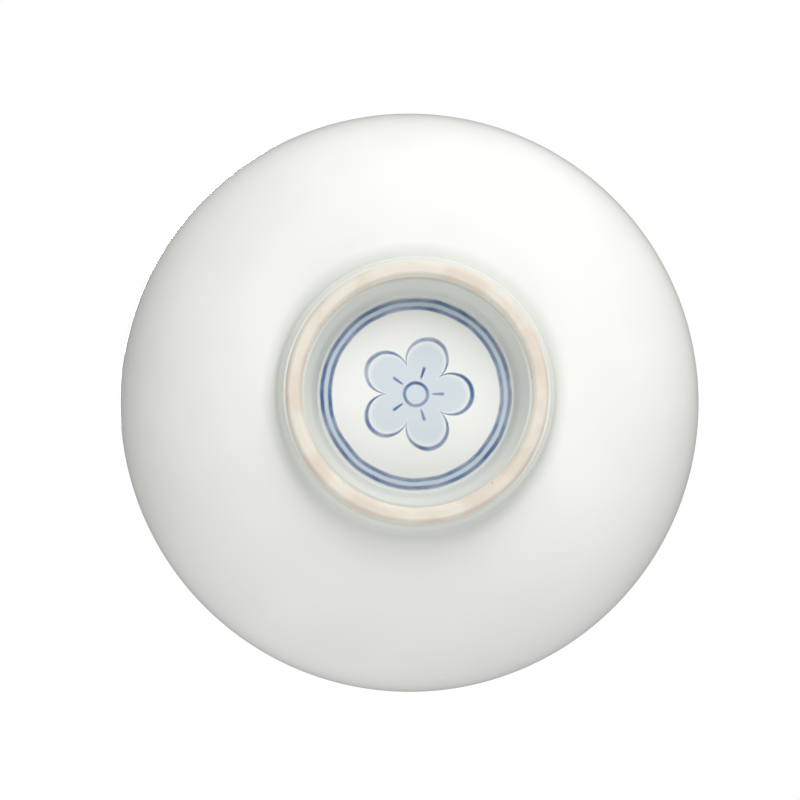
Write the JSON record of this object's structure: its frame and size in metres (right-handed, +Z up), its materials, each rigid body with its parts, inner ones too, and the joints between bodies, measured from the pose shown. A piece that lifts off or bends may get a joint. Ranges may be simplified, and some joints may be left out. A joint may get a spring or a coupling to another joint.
{
  "type": "porcelain cup",
  "caption": "Round handleless porcelain cup with a swelling wall, a gathered mouth, a turned foot ring and a blue double ring in the foot well.",
  "frame": {"origin": "on the turning axis, in the plane that the foot ring stands on", "axes": "+Z up along the turning axis, towards the mouth; X and Y are equal"},
  "size_m": [0.08, 0.08, 0.05],
  "materials": {
    "biscuit": "unglazed fired porcelain, matt",
    "clear_glaze": "clear gloss glaze over white porcelain",
    "well_glaze": "clear gloss glaze, slightly thicker",
    "cobalt_line": "brushed cobalt under gloss glaze",
    "pale_wash": "thin cobalt wash under gloss glaze"
  },
  "bodies": {
    "root": {"porcelain_body": "biscuit", "outer_glaze": "clear_glaze", "inner_glaze": "clear_glaze", "foot_well_glaze": "well_glaze", "inner_blue_ring": "cobalt_line", "pale_blue_band": "pale_wash", "outer_blue_ring": "cobalt_line"}
  },
  "joints": []
}
